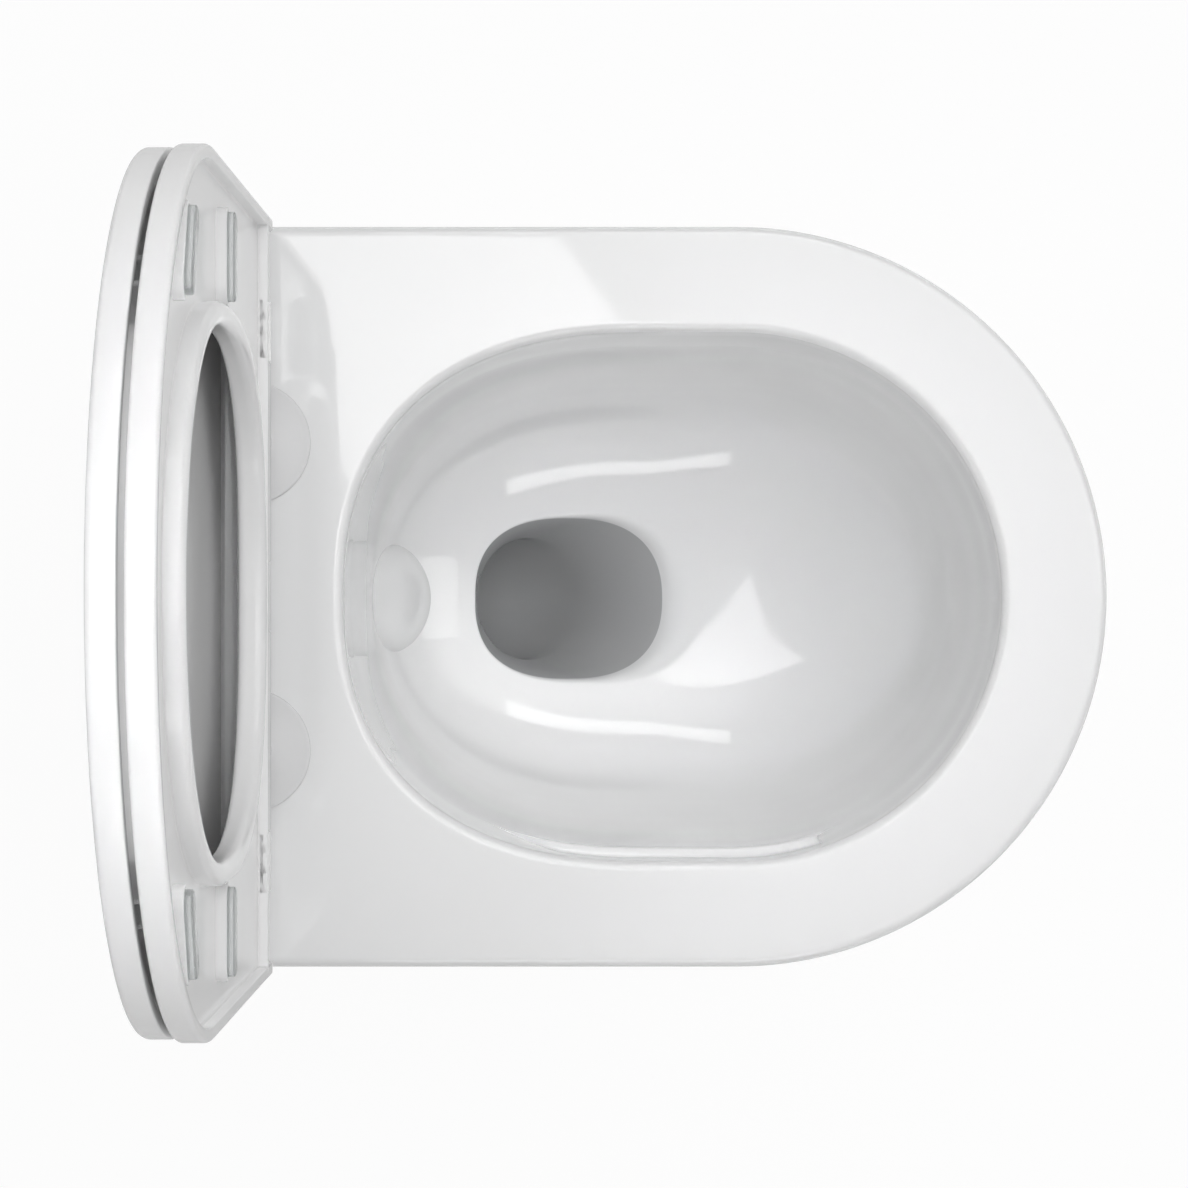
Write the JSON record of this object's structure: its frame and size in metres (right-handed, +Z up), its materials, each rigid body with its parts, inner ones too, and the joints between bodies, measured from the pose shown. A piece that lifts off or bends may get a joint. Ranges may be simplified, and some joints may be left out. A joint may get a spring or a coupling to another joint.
{
  "type": "wall hung toilet",
  "caption": "Rimless wall hung toilet: hollow glazed ceramic pan with side flush ledge and internal trapway, concealed wall fixings, and a quick-release soft-close seat and lid, both raised.",
  "frame": {"origin": "on the wall plane, midway between the two wall studs, 320 mm above the finished floor when hung at a 400 mm rim height", "axes": "+Z up, +Y into the wall (the pan reaches out along -Y), +X to the right of a person facing the toilet"},
  "size_m": [0.378, 0.49, 0.7965],
  "materials": {
    "ceramic": "glazed gloss white",
    "seat_white": "moulded gloss white",
    "hinge_white": "moulded white",
    "button_white": "moulded white",
    "cap_white": "moulded gloss white",
    "bush_white": "plain nylon",
    "silicone": "clear silicone",
    "rubber": "matte black",
    "fixing_nylon": "glass-filled nylon",
    "damper_grey": "plain",
    "steel": "turned stainless",
    "brass": "turned"
  },
  "bodies": {
    "pan": {"ceramic_pan": "ceramic", "fixing_block_right": "fixing_nylon", "fixing_block_left": "fixing_nylon", "clamp_screw_right": "steel", "clamp_screw_left": "steel", "cover_cap_right": "cap_white", "cover_cap_left": "cap_white", "hinge_rosette_right": "cap_white", "hinge_rosette_left": "cap_white", "hinge_stud_right": "steel", "hinge_stud_left": "steel", "expansion_sleeve_right": "rubber", "expansion_sleeve_left": "rubber", "expansion_nut_right": "brass", "expansion_nut_left": "brass"},
    "hinge": {"hinge_bar": "hinge_white", "damper_right": "damper_grey", "damper_left": "damper_grey", "hinge_pin_right": "steel", "hinge_pin_left": "steel"},
    "button": {"release_button": "button_white"},
    "seat": {"seat_ring": "seat_white", "seat_buffers_rear": "silicone", "seat_buffers_front": "silicone", "seat_bush_right": "bush_white", "seat_bush_left": "bush_white"},
    "lid": {"lid_shell": "seat_white", "lid_buffers": "silicone", "lid_bush_right": "bush_white", "lid_bush_left": "bush_white"}
  },
  "joints": [
    {"name": "seat_lift_off", "type": "slide", "parent": "pan", "child": "hinge", "axis": [0, 0, 1], "range_m": [0, 0.03]},
    {"name": "release_press", "type": "slide", "parent": "hinge", "child": "button", "axis": [0, 1, 0], "range_m": [0, 0.0025], "stiffness_N_per_m": 600, "springref_m": -0.002},
    {"name": "seat_hinge", "type": "hinge", "parent": "hinge", "child": "seat", "pos_m": [0, -0.057, 0.0965], "axis": [1, 0, 0], "range_deg": [0, 90]},
    {"name": "lid_hinge", "type": "hinge", "parent": "seat", "child": "lid", "pos_m": [0, -0.057, 0.0965], "axis": [1, 0, 0], "range_deg": [-90, 0]}
  ]
}
